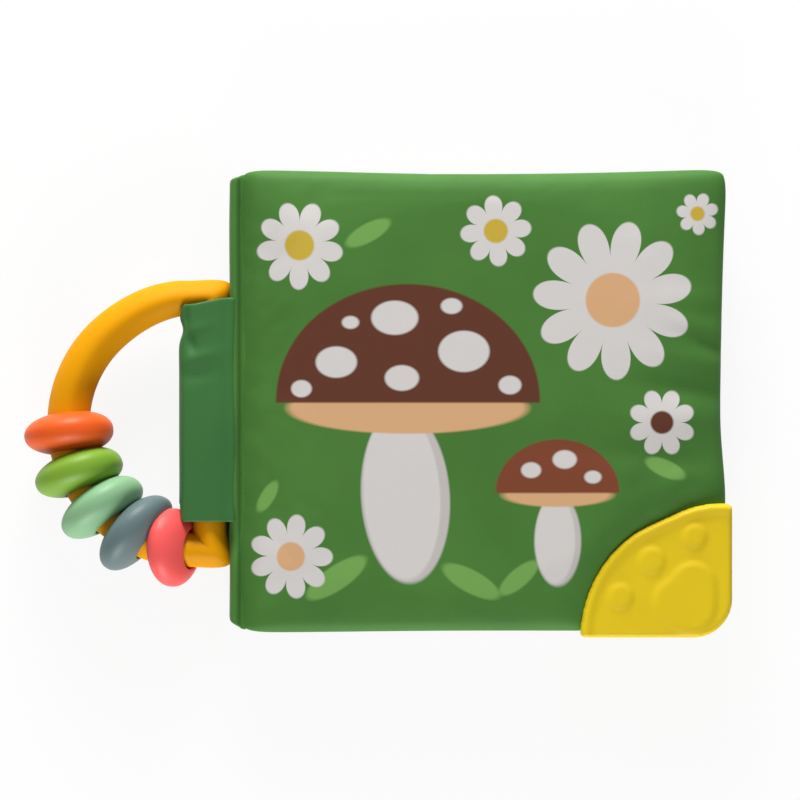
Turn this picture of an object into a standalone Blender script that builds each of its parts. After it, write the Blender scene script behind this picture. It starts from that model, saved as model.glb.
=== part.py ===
"""A crinkle cloth book: padded covers, crinkle leaves, a handle ring with beads and a teether corner.

Metres, +Z up. The book lies on its back cover with the spine at -X and the head of the page at +Y.
The origin is the centre of the book on the flat face that it rests on.
"""

import math

import bmesh
import bpy
from mathutils import Vector

# Overall size of the closed book
BOOK_WIDTH = 0.1396
BOOK_HEIGHT = 0.131

# Gaps between pieces
TOUCH_GAP = 0.0003
LEAF_GAP = 0.0004
WADDING_GAP = 0.0006

# Padded leaves: cloth panels sewn round their edges, with the filling between them
COVER_CLOTH = 0.0008
LEAF_CLOTH = 0.0006
FRONT_CROWN = 0.0050
FRONT_LINING_CROWN = 0.0008
BACK_CROWN = 0.0023
BACK_LINING_CROWN = 0.0028
LEAF_CROWN = 0.0014
FLAT_CUT = 0.0005
FILM_THICKNESS = 0.0003
FILM_MARGIN = 0.0180
WADDING_MARGIN = 0.0160
LEAF_INSET = 0.0020
SIDE_DRAW = 0.0014
HEAD_DRAW = 0.0009
CORNER_DRAW = 0.0010
CROWN_POWER = 3.5
CORNER_POWER = 12

# Spine
SPINE_CLOTH = 0.0009
SPINE_FOOT = 0.0008
SPINE_DROP = 0.0010
SPINE_CURL = 0.0010
FOOT_CURL_SHARE = 0.7
SPINE_STEPS = 10
LINING_STRIP = 0.0005
LINING_REACH_SHARE = 0.55
HINGE_INSET = 0.0023
HINGE_RISE = 0.0006

# Handle ring: a D with its straight bar in the tab
RING_RADIUS = 0.0350
RING_FLATTENING = 0.0051
RING_CENTRE_Y = -0.0065
BAR_RADIUS = 0.0048
BAR_PLAY = 0.0007
ARC_TUBE_RADIUS = 0.0056
RING_CORNER_EASE = 0.0002
RING_ARC_STEPS = 36
RING_CORNER_STEPS = 5

# Beads on the ring
BEAD_RADIUS = 0.0125
BEAD_HALF_THICKNESS = 0.0055
BEAD_BORE_PLAY = 0.0012
BEAD_GAP = 0.00012
LAST_BEAD_PLAY = 0.0010
BEAD_STEPS = 28
BEAD_PROFILE_STEPS = 6
BEAD_NAMES = ("orange", "lime", "mint", "blue_grey", "coral")

# Tab: a cloth loop round the bar, sewn to the spine by its two flanges
TAB_CLOTH = 0.0009
TAB_SLACK = 0.0010
TAB_REACH = 0.0014
TAB_ARM_PLAY = 0.0011
TAB_HIGH_DRAW = 0.0042
TAB_LOW_DRAW = 0.0062
TAB_FLANGE = 0.0030
TAB_SHOULDER = 0.0011
TAB_FLANGE_SHARE = 0.06
TAB_TURN_SHARE = 0.08
TAB_LOOP_STEPS = 12
TAB_LENGTH_STEPS = 8

# Teether sewn in at the lower corner of the front cover
TEETHER_RADIUS = 0.0394
TEETHER_OVER_X = 0.0028
TEETHER_OVER_Y = 0.0014
TEETHER_CENTRE_IN_X = 0.0040
TEETHER_CENTRE_OUT_Y = 0.0015
TEETHER_THICKNESS = 0.0056
TEETHER_CORNER = 0.0100
TEETHER_TIP = 0.0022
TEETHER_EDGE = 0.0011
RIM_RADIUS = 0.0010
FLANGE_WIDTH = 0.0050
FLANGE_THICKNESS = 0.0012
FLANGE_BITE = 0.0030
FLANGE_START = math.radians(110.0)
FLANGE_END = math.radians(160.0)
PAD_RISE = 0.0009
TOE_RADIUS = 0.0045
TOE_ANGLES = (math.radians(86.0), math.radians(135.0), math.radians(177.0))
TOE_SPREAD = 0.0190
TOE_SPREAD_SHARES = (0.95, 0.84, 1.04)
PALM_RADIUS = 0.0096
PALM_INSET_X = 0.0080
PALM_INSET_Y = 0.0120
TEETHER_ARC_STEPS = 20

# Places worked out from the sizes
SPINE_X = -BOOK_WIDTH / 2
EDGE_X = BOOK_WIDTH / 2
BACK_SEAM = BACK_CROWN + COVER_CLOTH - FLAT_CUT + TOUCH_GAP / 2
BACK_TOP = BACK_SEAM + TOUCH_GAP / 2 + COVER_CLOTH + BACK_LINING_CROWN
LEAF_HALF = TOUCH_GAP / 2 + LEAF_CLOTH + LEAF_CROWN
LOWER_LEAF_SEAM = BACK_TOP + LEAF_GAP + LEAF_HALF
UPPER_LEAF_SEAM = LOWER_LEAF_SEAM + LEAF_GAP + 2 * LEAF_HALF
FRONT_FOOT = UPPER_LEAF_SEAM + LEAF_HALF + LEAF_GAP
FRONT_SEAM = FRONT_FOOT + FRONT_LINING_CROWN + COVER_CLOTH + TOUCH_GAP / 2
FRONT_EDGE_TOP = FRONT_SEAM + TOUCH_GAP / 2 + COVER_CLOTH
SPINE_TOP = FRONT_EDGE_TOP - SPINE_DROP
HINGE = Vector((SPINE_X + HINGE_INSET, 0, FRONT_EDGE_TOP + HINGE_RISE))
BAR = Vector((SPINE_X - TOUCH_GAP - TAB_CLOTH - BAR_PLAY - BAR_RADIUS, 0, BEAD_RADIUS))
RING_CENTRE = Vector((BAR.x - RING_FLATTENING, RING_CENTRE_Y, BEAD_RADIUS))
RING_CORNER_RADIUS = BAR_RADIUS + RING_CORNER_EASE
BEAD_BORE_RADIUS = ARC_TUBE_RADIUS + BEAD_BORE_PLAY
LAST_BEAD_X = BAR.x - BAR_RADIUS - LAST_BEAD_PLAY - BEAD_HALF_THICKNESS
LAST_BEAD_ANGLE = math.pi + math.acos((RING_CENTRE.x - LAST_BEAD_X) / RING_RADIUS)
LAST_BEAD_Y = RING_CENTRE_Y + RING_RADIUS * math.sin(LAST_BEAD_ANGLE)
BEAD_INNER_REACH = math.sqrt(RING_RADIUS ** 2 - BEAD_RADIUS ** 2)
BEAD_ANGLE_STEP = 2 * math.atan((BEAD_HALF_THICKNESS + BEAD_GAP / 2) / BEAD_INNER_REACH)
TAB_LOOP_RADIUS = BAR_RADIUS + TAB_SLACK + TAB_CLOTH
TAB_LOOP_HIGH = RING_CENTRE_Y + RING_RADIUS - BAR_RADIUS - TAB_ARM_PLAY
TAB_LOOP_LOW = LAST_BEAD_Y + BEAD_RADIUS + TOUCH_GAP
TEETHER_RIGHT = EDGE_X + TEETHER_OVER_X
TEETHER_FOOT = -BOOK_HEIGHT / 2 - TEETHER_OVER_Y
TEETHER_CENTRE = Vector((TEETHER_RIGHT - TEETHER_CENTRE_IN_X, TEETHER_FOOT - TEETHER_CENTRE_OUT_Y, 0))

# Colours from sRGB hex
COVER_GREEN = "47783C"
LINING_CREAM = "E4DFD0"
LEAF_BLUE = "8FB6C4"
TAB_GREEN = "3F7638"
RING_YELLOW = "F7AE1A"
TEETHER_YELLOW = "DDC025"
FILM_CLEAR = "D8DCDD"
WADDING_WHITE = "EFEFEC"
BEAD_COLOURS = {
    "orange": "F4662F",
    "lime": "94BF45",
    "mint": "9CCBA0",
    "blue_grey": "6B808C",
    "coral": "F0525A",
}


def linear(hex_colour):
    """The linear colour of an sRGB hex value."""
    shares = [int(hex_colour[i:i + 2], 16) / 255 for i in (0, 2, 4)]
    return [s / 12.92 if s <= 0.04045 else ((s + 0.055) / 1.055) ** 2.4 for s in shares] + [1.0]


def material(name, hex_colour, roughness):
    made = bpy.data.materials.new(name)
    made.use_nodes = True
    shader = made.node_tree.nodes["Principled BSDF"]
    shader.inputs["Base Color"].default_value = linear(hex_colour)
    shader.inputs["Roughness"].default_value = roughness
    shader.inputs["Metallic"].default_value = 0.0
    return made


def collection(name):
    made = bpy.data.collections.new(name)
    bpy.context.scene.collection.children.link(made)
    return made


def empty(name, place):
    """A holder on a joint's axis. Its place is a world one."""
    made = bpy.data.objects.new(name, None)
    PARTS.objects.link(made)
    made.location = place
    return made


def add(name, mesh, place, parent, look):
    """One sub-part from a mesh about its own place, which is a world one."""
    made = bpy.data.objects.new(name, mesh)
    PARTS.objects.link(made)
    made.parent = parent
    made.location = place - parent.location
    made.data.materials.append(look)
    return made


def finish(made, bevel_width=0.0, segments=2):
    """Rounded edges if wanted, and smooth shading."""
    if bevel_width:
        bevel = made.modifiers.new("rounded edges", "BEVEL")
        bevel.width = bevel_width
        bevel.segments = segments
        bevel.limit_method = "ANGLE"
    made.data.shade_smooth()
    made.data.set_sharp_from_angle(angle=math.radians(40.0))
    return made


def solidify(made, thickness):
    wall = made.modifiers.new("cloth", "SOLIDIFY")
    wall.thickness = thickness
    wall.offset = -1.0
    wall.use_even_offset = False
    return wall


def cut(made, cutter):
    hole = made.modifiers.new("cut", "BOOLEAN")
    hole.operation = "DIFFERENCE"
    hole.object = cutter


def join(made, other):
    union = made.modifiers.new("join", "BOOLEAN")
    union.operation = "UNION"
    union.object = other


def guide(name, mesh, place):
    """A cutter or a tool for a join, left out of the model."""
    made = bpy.data.objects.new(name, mesh)
    GUIDES.objects.link(made)
    made.location = place
    made.hide_render = True
    made.display_type = "WIRE"
    return made


def cylinder_mesh(name, radius, height, sides):
    mesh = bpy.data.meshes.new(name)
    shape = bmesh.new()
    bmesh.ops.create_cone(
        shape, cap_ends=True, segments=sides, radius1=radius, radius2=radius, depth=height
    )
    shape.to_mesh(mesh)
    shape.free()
    return mesh


def crown_share(u, v):
    """How much of the crown a leaf has at a place, from 0 at the seam to 1 at the middle."""
    return (1 - abs(u) ** CROWN_POWER) * (1 - abs(v) ** CROWN_POWER)


def leaf_place(u, v, half_width, half_height):
    """A leaf's outline: straight at the spine, drawn in between rounded corners elsewhere."""
    side = max(0, u) * u * SIDE_DRAW * (1 - v * v) + CORNER_DRAW * abs(v) ** CORNER_POWER
    head = HEAD_DRAW * (1 - u * u) * v * v + CORNER_DRAW * abs(u) ** CORNER_POWER
    return u * (half_width - side), v * (half_height - head)


def panel_mesh(name, half_width, half_height, crown, cells, side, limit):
    """The outer face of one cloth panel, bulging up for side 1 and down for side -1."""
    mesh = bpy.data.meshes.new(name)
    shape = bmesh.new()
    bmesh.ops.create_grid(shape, x_segments=cells, y_segments=cells, size=1)
    for vert in shape.verts:
        u, v = vert.co.x, vert.co.y
        x, y = leaf_place(u, v, half_width, half_height)
        vert.co = (x, y, side * min(crown * crown_share(u, v), limit))
    if side < 0:
        bmesh.ops.reverse_faces(shape, faces=shape.faces)
    shape.to_mesh(mesh)
    shape.free()
    return mesh


def panel(name, middle, size, seam, side, cloth, crown, cells, holder, look, flat=0.0):
    """A cloth panel on one side of a leaf's seam."""
    mesh = panel_mesh(name, size[0] / 2, size[1] / 2, crown, cells, side, crown - flat)
    place = Vector((middle, 0, seam + side * (TOUCH_GAP / 2 + cloth)))
    made = add(name, mesh, place, holder, look)
    solidify(made, cloth)
    return finish(made)


def wadding(name, middle, size, seam, crown, cells, holder, look):
    """The pad inside a cover: it lies on the film and keeps clear of the panel above it."""
    half_width, half_height = size[0] / 2, size[1] / 2
    share_x = 1 - WADDING_MARGIN / half_width
    share_y = 1 - WADDING_MARGIN / half_height
    base = FILM_THICKNESS / 2 + TOUCH_GAP
    mesh = bpy.data.meshes.new(name)
    shape = bmesh.new()
    bmesh.ops.create_grid(shape, x_segments=cells, y_segments=cells, size=1)
    for vert in shape.verts:
        u, v = vert.co.x * share_x, vert.co.y * share_y
        x, y = leaf_place(vert.co.x, vert.co.y, half_width * share_x, half_height * share_y)
        vert.co = (x, y, TOUCH_GAP / 2 + crown * crown_share(u, v) - WADDING_GAP)
    made = bmesh.ops.extrude_face_region(shape, geom=shape.faces[:])
    for part in made["geom"]:
        if isinstance(part, bmesh.types.BMVert):
            part.co.z = base
    bmesh.ops.recalc_face_normals(shape, faces=shape.faces)
    shape.to_mesh(mesh)
    shape.free()
    return finish(add(name, mesh, Vector((middle, 0, seam)), holder, look))


def film(name, middle, size, level, holder, look):
    """The crinkle film: a flat sheet with its edges inside the seam."""
    mesh = bpy.data.meshes.new(name)
    shape = bmesh.new()
    bmesh.ops.create_cube(shape, size=1)
    for vert in shape.verts:
        vert.co.x *= size[0] - 2 * FILM_MARGIN
        vert.co.y *= size[1] - 2 * FILM_MARGIN
        vert.co.z *= FILM_THICKNESS
    shape.to_mesh(mesh)
    shape.free()
    return add(name, mesh, Vector((middle, 0, level)), holder, look)


def strip_mesh(name, section, low, high, steps):
    """An open sheet through section points (x, z), run along Y. low and high give its ends there."""
    mesh = bpy.data.meshes.new(name)
    shape = bmesh.new()
    rows = []
    for i, (x, z) in enumerate(section):
        share = i / (len(section) - 1)
        start, end = low(share), high(share)
        rows.append([shape.verts.new((x, start + (end - start) * j / steps, z)) for j in range(steps + 1)])
    for first, second in zip(rows, rows[1:]):
        for j in range(steps):
            shape.faces.new((first[j], second[j], second[j + 1], first[j + 1]))
    shape.to_mesh(mesh)
    shape.free()
    return mesh


def arc(centre_x, centre_z, radius, start, end, steps):
    angles = [start + (end - start) * i / steps for i in range(steps + 1)]
    return [(centre_x + radius * math.cos(a), centre_z + radius * math.sin(a)) for a in angles]


def make_back_cover():
    """The leaf that the book lies on, flat where it rests."""
    left = SPINE_X + SPINE_CLOTH + TOUCH_GAP + SPINE_CURL * FOOT_CURL_SHARE
    size = (EDGE_X - left, BOOK_HEIGHT)
    middle = (EDGE_X + left) / 2
    panel(
        "back_cover_outer_panel", middle, size, BACK_SEAM, -1, COVER_CLOTH, BACK_CROWN, 10,
        ROOT, GREEN_CLOTH, FLAT_CUT,
    )
    panel(
        "back_cover_inner_panel", middle, size, BACK_SEAM, 1, COVER_CLOTH, BACK_LINING_CROWN, 10,
        ROOT, CREAM_CLOTH,
    )
    wadding("back_cover_wadding", middle, size, BACK_SEAM, BACK_LINING_CROWN, 8, ROOT, WHITE_WADDING)
    film("back_cover_crinkle_film", middle, size, BACK_SEAM, ROOT, CLEAR_FILM)


def make_spine():
    """The spine's outer strip, curled in at the foot and the top, and the strip that lines it."""
    radius = (SPINE_TOP - SPINE_FOOT) / 2
    height = (SPINE_TOP + SPINE_FOOT) / 2
    section = []
    for i in range(SPINE_STEPS + 1):
        t = 2 * i / SPINE_STEPS - 1
        section.append((SPINE_X + SPINE_CURL * abs(t) ** CROWN_POWER, height + radius * t))
    half = BOOK_HEIGHT / 2 - CORNER_DRAW
    mesh = strip_mesh("spine_panel", section, lambda s: -half, lambda s: half, 4)
    made = add("spine_panel", mesh, Vector((0, 0, 0)), ROOT, GREEN_CLOTH)
    solidify(made, SPINE_CLOTH)
    finish(made)
    low = BACK_TOP + TOUCH_GAP
    high = height + radius * LINING_REACH_SHARE
    x = SPINE_X + SPINE_CLOTH + 2 * TOUCH_GAP
    half -= LEAF_INSET
    mesh = strip_mesh(
        "spine_lining_strip", [(x, low), (x, high)], lambda s: -half, lambda s: half, 1
    )
    made = add("spine_lining_strip", mesh, Vector((0, 0, 0)), ROOT, CREAM_CLOTH)
    solidify(made, LINING_STRIP)


def make_leaf(name, seam, holder):
    """An inner leaf: two panels with the crinkle film between them."""
    left = HINGE.x + TOUCH_GAP
    right = EDGE_X - LEAF_INSET
    size = (right - left, BOOK_HEIGHT - 2 * LEAF_INSET)
    middle = (right + left) / 2
    panel(name + "_front_panel", middle, size, seam, 1, LEAF_CLOTH, LEAF_CROWN, 8, holder, BLUE_CLOTH)
    panel(name + "_back_panel", middle, size, seam, -1, LEAF_CLOTH, LEAF_CROWN, 8, holder, CREAM_CLOTH)
    film(name + "_crinkle_film", middle, size, seam, holder, CLEAR_FILM)


def make_front_cover():
    """The padded front leaf, its lower corner cut away round the teether."""
    left = HINGE.x + TOUCH_GAP
    size = (EDGE_X - left, BOOK_HEIGHT)
    middle = (EDGE_X + left) / 2
    outer = panel(
        "front_cover_outer_panel", middle, size, FRONT_SEAM, 1, COVER_CLOTH, FRONT_CROWN, 18,
        FRONT_HINGE, GREEN_CLOTH,
    )
    inner = panel(
        "front_cover_inner_panel", middle, size, FRONT_SEAM, -1, COVER_CLOTH, FRONT_LINING_CROWN, 10,
        FRONT_HINGE, CREAM_CLOTH,
    )
    pad = wadding(
        "front_cover_wadding", middle, size, FRONT_SEAM, FRONT_CROWN, 10, FRONT_HINGE, WHITE_WADDING
    )
    sheet = film("front_cover_crinkle_film", middle, size, FRONT_SEAM, FRONT_HINGE, CLEAR_FILM)
    height = TEETHER_THICKNESS + 2 * FRONT_CROWN
    place = TEETHER_CENTRE + Vector((0, 0, FRONT_SEAM))
    near = guide(
        "teether_cutter",
        cylinder_mesh("teether_cutter", TEETHER_RADIUS + TOUCH_GAP, height, 4 * TEETHER_ARC_STEPS),
        place,
    )
    far = guide(
        "flange_cutter",
        cylinder_mesh(
            "flange_cutter", TEETHER_RADIUS + FLANGE_WIDTH + 2 * TOUCH_GAP, height, 4 * TEETHER_ARC_STEPS
        ),
        place,
    )
    for made in (outer, inner):
        cut(made, near)
    for made in (pad, sheet):
        cut(made, far)


def teether_outline():
    """The teether seen from above: an arc from the right edge to the foot, and the outer corner."""
    right, foot = TEETHER_RIGHT, TEETHER_FOOT
    centre = TEETHER_CENTRE
    start = math.acos((right - centre.x) / TEETHER_RADIUS)
    end = math.pi - math.asin((foot - centre.y) / TEETHER_RADIUS)
    points = arc(centre.x, centre.y, TEETHER_RADIUS, start, end, TEETHER_ARC_STEPS)
    return [Vector((x, y, 0)) for x, y in points] + [Vector((right, foot, 0))]


def plate_mesh(name, points, thickness, rounded=()):
    """A flat outline extruded upwards. rounded lists (point, radius) corners."""
    mesh = bpy.data.meshes.new(name)
    shape = bmesh.new()
    verts = [shape.verts.new(p) for p in points]
    face = shape.faces.new(verts)
    face.normal_update()
    if face.normal.z < 0:
        face.normal_flip()
    for index, radius in rounded:
        bmesh.ops.bevel(
            shape, geom=[verts[index]], offset=radius, segments=6, profile=0.5, affect="VERTICES",
            material=-1,
        )
    made = bmesh.ops.extrude_face_region(shape, geom=shape.faces[:])
    moved = [g for g in made["geom"] if isinstance(g, bmesh.types.BMVert)]
    bmesh.ops.translate(shape, verts=moved, vec=(0, 0, thickness))
    bmesh.ops.recalc_face_normals(shape, faces=shape.faces)
    shape.to_mesh(mesh)
    shape.free()
    return mesh


def dome_mesh(name, radius_x, radius_y, rise):
    """A low dome for one pad of the paw print, with as much below its rim as above."""
    mesh = bpy.data.meshes.new(name)
    shape = bmesh.new()
    bmesh.ops.create_uvsphere(shape, u_segments=20, v_segments=8, radius=1)
    for vert in shape.verts:
        vert.co = (vert.co.x * radius_x, vert.co.y * radius_y, vert.co.z * rise)
    shape.to_mesh(mesh)
    shape.free()
    return mesh


def make_teether():
    """The moulded corner: a body, a rim along the cloth, a flange for the seam and a paw print."""
    points = teether_outline()
    top = Vector((0, 0, FRONT_FOOT + TEETHER_THICKNESS))
    centre = TEETHER_CENTRE
    last = len(points) - 1
    rounded = ((0, TEETHER_TIP), (last - 1, TEETHER_TIP), (last, TEETHER_CORNER))
    mesh = plate_mesh("corner_teether", points, TEETHER_THICKNESS, rounded)
    body = add("corner_teether", mesh, Vector((0, 0, FRONT_FOOT)), FRONT_HINGE, SILICONE)
    finish(body, TEETHER_EDGE, 2)

    def band(name, inner, outer, start, end, foot, thickness):
        steps = TEETHER_ARC_STEPS
        far = arc(centre.x, centre.y, outer, start, end, steps)
        near = arc(centre.x, centre.y, inner, end, start, steps)
        outline = [Vector((x, y, 0)) for x, y in far + near]
        join(body, guide(name, plate_mesh(name, outline, thickness), Vector((0, 0, foot))))

    flange_foot = FRONT_SEAM + TOUCH_GAP
    reach = TEETHER_RADIUS + FLANGE_WIDTH
    band(
        "flange", TEETHER_RADIUS - FLANGE_BITE, reach, FLANGE_START, FLANGE_END, flange_foot,
        FLANGE_THICKNESS,
    )
    rim_out = TEETHER_RADIUS - TEETHER_EDGE - TOUCH_GAP
    tip = TEETHER_TIP / TEETHER_RADIUS
    start = math.acos(TEETHER_CENTRE_IN_X / TEETHER_RADIUS) + 2 * tip
    end = math.pi - math.asin(TEETHER_CENTRE_OUT_Y / TEETHER_RADIUS) - 2 * tip
    band("rim", rim_out - 2 * RIM_RADIUS, rim_out, start, end, top.z - RIM_RADIUS, 2 * RIM_RADIUS)
    palm = Vector((centre.x - PALM_INSET_X, centre.y + PALM_INSET_Y, 0))
    for i, (angle, share) in enumerate(zip(TOE_ANGLES, TOE_SPREAD_SHARES)):
        place = palm + TOE_SPREAD * share * Vector((math.cos(angle), math.sin(angle), 0)) + top
        name = f"toe_{i + 1}"
        join(body, guide(name, dome_mesh(name, TOE_RADIUS, TOE_RADIUS, PAD_RISE), place))
    join(body, guide("palm", dome_mesh("palm", PALM_RADIUS, PALM_RADIUS, PAD_RISE), palm + top))


def ring_route():
    """The D's middle line and its tube radius, from the foot of the bar round the arc."""
    right = BAR.x - RING_CENTRE.x
    corner = RING_CORNER_RADIUS
    route = []

    def turn(x, y, radius, start, end, steps, tube):
        for i in range(steps + 1):
            a = start + (end - start) * i / steps
            route.append((x + radius * math.cos(a), y + radius * math.sin(a), tube(i / steps)))

    grown = ARC_TUBE_RADIUS - BAR_RADIUS
    high = RING_RADIUS - corner
    turn(right - corner, high, corner, 0, math.pi / 2, RING_CORNER_STEPS, lambda s: BAR_RADIUS)
    turn(
        0, 0, RING_RADIUS, math.pi / 2, 3 * math.pi / 2, RING_ARC_STEPS,
        lambda s: BAR_RADIUS + grown * math.sin(math.pi * s),
    )
    turn(
        right - corner, -high, corner, -math.pi / 2, 0, RING_CORNER_STEPS, lambda s: BAR_RADIUS
    )
    return route


def make_ring():
    """The handle: a closed tube along the D."""
    curve = bpy.data.curves.new("handle_ring", "CURVE")
    curve.dimensions = "3D"
    curve.bevel_depth = BAR_RADIUS
    curve.bevel_resolution = 3
    route = ring_route()
    spline = curve.splines.new("POLY")
    spline.points.add(len(route) - 1)
    for point, (x, y, radius) in zip(spline.points, route):
        point.co = (x, y, 0, 1)
        point.radius = radius / BAR_RADIUS
    spline.use_cyclic_u = True
    made = add("handle_ring", curve, RING_CENTRE, RING_HINGE, YELLOW_PLASTIC)
    return made


def bead_profile():
    """Half of the bead's section, from its bore at the top round its rim to its bore at the foot."""
    points = []
    start = math.acos(BEAD_BORE_RADIUS / BEAD_RADIUS)
    for i in range(2 * BEAD_PROFILE_STEPS + 1):
        a = start - start * i / BEAD_PROFILE_STEPS
        points.append((BEAD_RADIUS * math.cos(a), BEAD_HALF_THICKNESS * math.sin(a)))
    return points


def make_bead(index, colour):
    """A flattened bead on the ring's arc, with its origin on its slide's axis."""
    angle = LAST_BEAD_ANGLE - (len(BEAD_NAMES) - 1 - index) * BEAD_ANGLE_STEP
    name = colour + "_bead"
    holder = empty(name + "_slide", RING_CENTRE)
    holder.rotation_euler = (0, 0, angle)
    mesh = bpy.data.meshes.new(name)
    shape = bmesh.new()
    verts = [shape.verts.new((x, 0, z)) for x, z in bead_profile()]
    for first, second in zip(verts, verts[1:] + verts[:1]):
        shape.edges.new((first, second))
    shape.to_mesh(mesh)
    shape.free()
    made = bpy.data.objects.new(name, mesh)
    PARTS.objects.link(made)
    made.parent = holder
    made.location = (RING_RADIUS, 0, 0)
    made.rotation_euler = (math.pi / 2, 0, 0)
    made.data.materials.append(material(colour + "_satin_plastic", BEAD_COLOURS[colour], 0.4))
    turned = made.modifiers.new("turned", "SCREW")
    turned.axis = "Z"
    turned.steps = BEAD_STEPS
    turned.render_steps = BEAD_STEPS
    turned.merge_threshold = 0.00001
    turned.use_merge_vertices = True
    turned.use_smooth_shade = True


def make_tab():
    """The cloth loop: two flanges on the spine and a round fold about the bar."""
    face = SPINE_X - TOUCH_GAP
    loop_x = BAR.x - TAB_REACH
    low, high = BAR.z - TAB_LOOP_RADIUS, BAR.z + TAB_LOOP_RADIUS
    shoulder_x = face - TAB_CLOTH - TAB_SHOULDER
    section = [
        (face - TAB_CLOTH, low - TAB_SHOULDER - TAB_FLANGE),
        (face - TAB_CLOTH, low - TAB_SHOULDER),
        (shoulder_x, low),
    ]
    section += arc(loop_x, BAR.z, TAB_LOOP_RADIUS, 3 * math.pi / 2, math.pi / 2, TAB_LOOP_STEPS)
    section += [
        (shoulder_x, high - TAB_SHOULDER),
        (face, high - 2 * TAB_SHOULDER),
        (face, high - 2 * TAB_SHOULDER - TAB_FLANGE),
    ]

    def drawn(share):
        """How far in the ends are drawn: not at all on the flanges, fully on the fold."""
        edge = min(share, 1 - share)
        return min(1.0, max(0.0, (edge - TAB_FLANGE_SHARE) / TAB_TURN_SHARE))

    mesh = strip_mesh(
        "ring_tab", section,
        lambda s: TAB_LOOP_LOW - TAB_LOW_DRAW * (1 - drawn(s)),
        lambda s: TAB_LOOP_HIGH + TAB_HIGH_DRAW * (1 - drawn(s)),
        TAB_LENGTH_STEPS,
    )
    made = add("ring_tab", mesh, Vector((0, 0, 0)), ROOT, TAB_CLOTH_LOOK)
    solidify(made, TAB_CLOTH)
    return finish(made)


for old in list(bpy.data.objects):
    bpy.data.objects.remove(old, do_unlink=True)

PARTS = collection("crinkle_cloth_book")
GUIDES = collection("guides")

GREEN_CLOTH = material("green_printed_satin", COVER_GREEN, 0.6)
CREAM_CLOTH = material("cream_lining_cloth", LINING_CREAM, 0.8)
BLUE_CLOTH = material("blue_page_cloth", LEAF_BLUE, 0.7)
TAB_CLOTH_LOOK = material("green_tab_cloth", TAB_GREEN, 0.7)
CLEAR_FILM = material("crinkle_film", FILM_CLEAR, 0.2)
WHITE_WADDING = material("polyester_wadding", WADDING_WHITE, 1.0)
YELLOW_PLASTIC = material("yellow_moulded_plastic", RING_YELLOW, 0.35)
SILICONE = material("yellow_silicone", TEETHER_YELLOW, 0.45)

ROOT = empty("book", Vector((0, 0, 0)))
LOWER_LEAF_HINGE = empty("lower_leaf_hinge", HINGE)
UPPER_LEAF_HINGE = empty("upper_leaf_hinge", HINGE)
FRONT_HINGE = empty("front_cover_hinge", HINGE)
RING_HINGE = empty("ring_hinge", BAR)

make_back_cover()
make_spine()
make_leaf("lower_leaf", LOWER_LEAF_SEAM, LOWER_LEAF_HINGE)
make_leaf("upper_leaf", UPPER_LEAF_SEAM, UPPER_LEAF_HINGE)
make_front_cover()
make_teether()
make_tab()
make_ring()
for number, bead_colour in enumerate(BEAD_NAMES):
    make_bead(number, bead_colour)

print(f"hinge line x {HINGE.x:.4f} z {HINGE.z:.4f}, bar x {BAR.x:.4f}, ring centre x {RING_CENTRE.x:.4f}")
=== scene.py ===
# %% [markdown]
# # Dressing the crinkle cloth book
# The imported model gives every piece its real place, in metres, with +Z up. The book lies on its
# back cover, the spine is at -X and the head of the page at +Y. This script puts padded cloth,
# thread, moulded plastic and silicone over those solids, piece by piece.

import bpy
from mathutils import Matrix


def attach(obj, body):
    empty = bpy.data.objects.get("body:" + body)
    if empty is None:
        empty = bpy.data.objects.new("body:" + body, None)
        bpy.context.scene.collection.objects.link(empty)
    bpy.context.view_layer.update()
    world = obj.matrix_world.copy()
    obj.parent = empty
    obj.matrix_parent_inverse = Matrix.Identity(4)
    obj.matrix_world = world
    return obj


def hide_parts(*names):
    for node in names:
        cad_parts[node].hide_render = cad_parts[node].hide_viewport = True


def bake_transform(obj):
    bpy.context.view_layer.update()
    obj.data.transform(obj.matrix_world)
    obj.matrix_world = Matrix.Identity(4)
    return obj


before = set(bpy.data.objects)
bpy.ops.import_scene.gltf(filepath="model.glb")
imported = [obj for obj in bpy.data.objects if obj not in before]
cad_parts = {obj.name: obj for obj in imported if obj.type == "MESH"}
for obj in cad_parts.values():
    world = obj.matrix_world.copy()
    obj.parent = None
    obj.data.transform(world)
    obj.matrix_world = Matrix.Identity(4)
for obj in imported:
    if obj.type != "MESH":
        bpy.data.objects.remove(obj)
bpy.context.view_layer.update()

# %% Other modules
import math

import bmesh
import bpy
from mathutils import Matrix, Vector, noise

scene = bpy.context.scene
print("Blender", bpy.app.version_string)

# %% [markdown]
# ## Colours and material nodes
# Colours are written as sRGB hex values, as a picture editor shows them, and Blender's shaders work in
# linear light, so one function turns them. A second small function adds a node, sets its settings and
# links its inputs in one line, which keeps the long material recipes readable.

# %% Colour and node helpers
def linear(hex_colour):
    """Linear RGBA from an sRGB hex value."""
    shares = [int(hex_colour[i:i + 2], 16) / 255 for i in (0, 2, 4)]
    return [s / 12.92 if s <= 0.04045 else ((s + 0.055) / 1.055) ** 2.4 for s in shares] + [1.0]


def add_node(tree, kind, inputs=None, **settings):
    """A shader node with its settings, and its inputs set or linked."""
    node = tree.nodes.new("ShaderNode" + kind)
    for name, value in settings.items():
        setattr(node, name, value)
    for socket, value in (inputs or {}).items():
        if isinstance(value, bpy.types.NodeSocket):
            tree.links.new(value, node.inputs[socket])
        else:
            node.inputs[socket].default_value = value
    return node


def ink(tree, mask, under, colour):
    """A hex colour laid over what is under it, where the mask says."""
    return add_node(
        tree, "Mix", {"Factor": mask, "A": under, "B": linear(colour)}, data_type="RGBA"
    ).outputs["Result"]


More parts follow.
